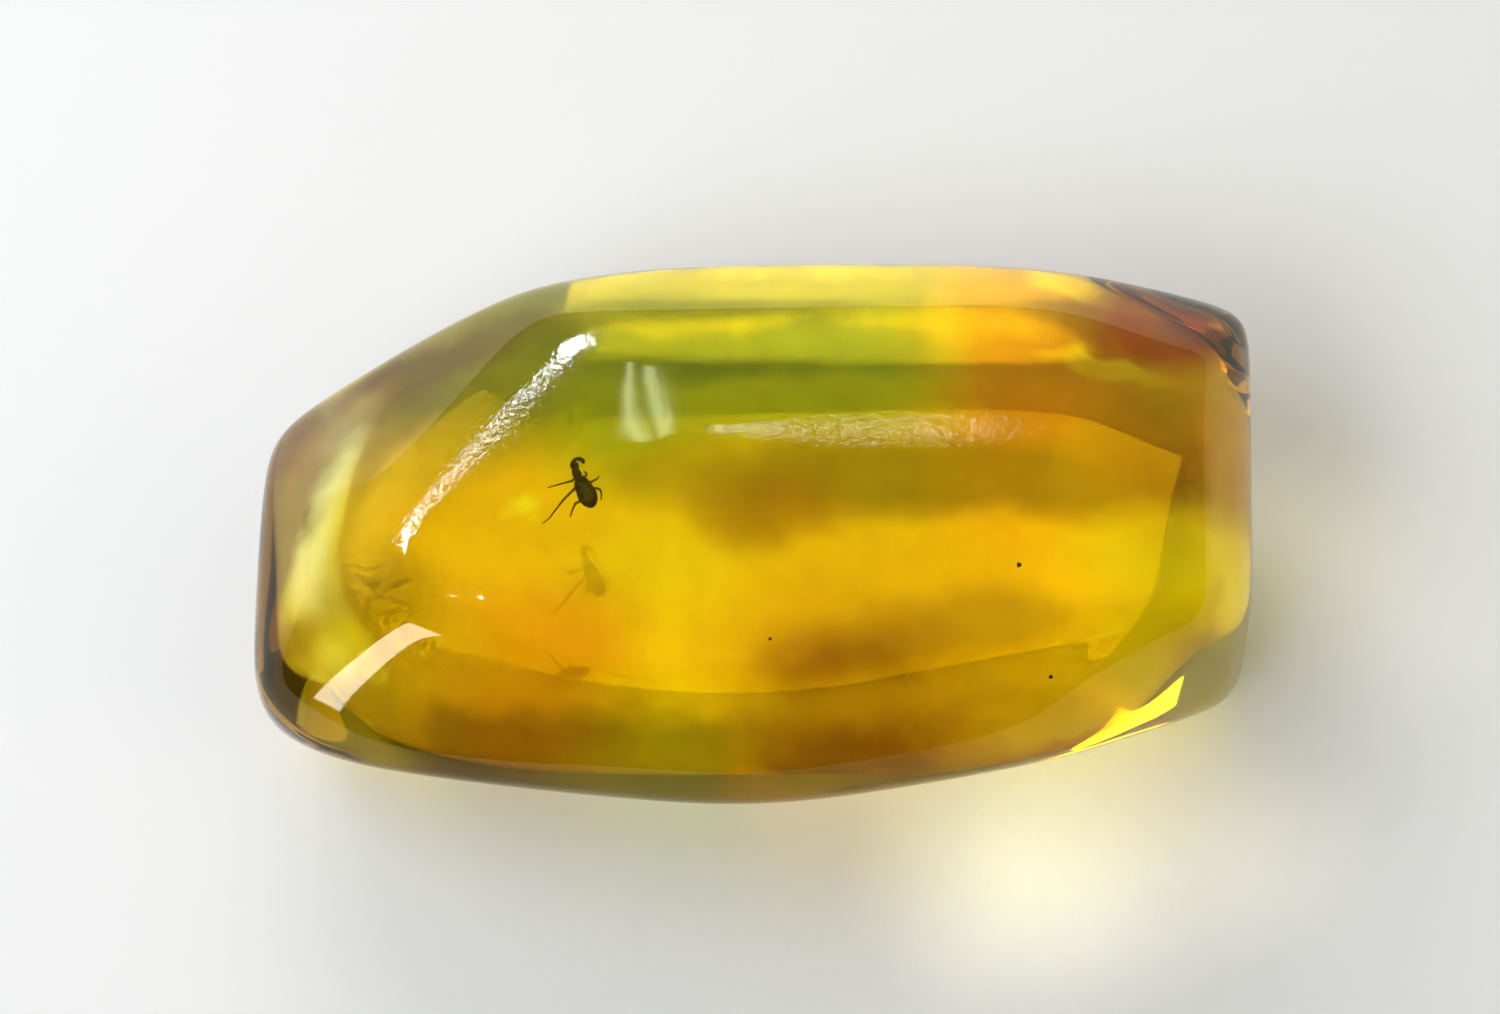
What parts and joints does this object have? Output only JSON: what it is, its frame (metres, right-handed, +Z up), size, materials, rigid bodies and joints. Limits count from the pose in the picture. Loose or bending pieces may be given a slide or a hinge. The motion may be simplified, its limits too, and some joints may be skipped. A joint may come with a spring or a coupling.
{
  "type": "insect in amber",
  "caption": "Small polished amber pebble with a flat base and softly rounded facets, with a tiny insect sealed inside it.",
  "frame": {"origin": "bottom centre of the pebble, on the flat that it rests on", "axes": "+X along the pebble's length towards its square end, +Y across it towards its straight long side, +Z up"},
  "size_m": [0.0242, 0.0138, 0.0074],
  "materials": {
    "amber": "polished, see-through golden amber",
    "insect_body": "dark brown chitin"
  },
  "bodies": {
    "root": {"amber_upper": "amber", "amber_lower": "amber", "insect": "insect_body"}
  },
  "joints": []
}
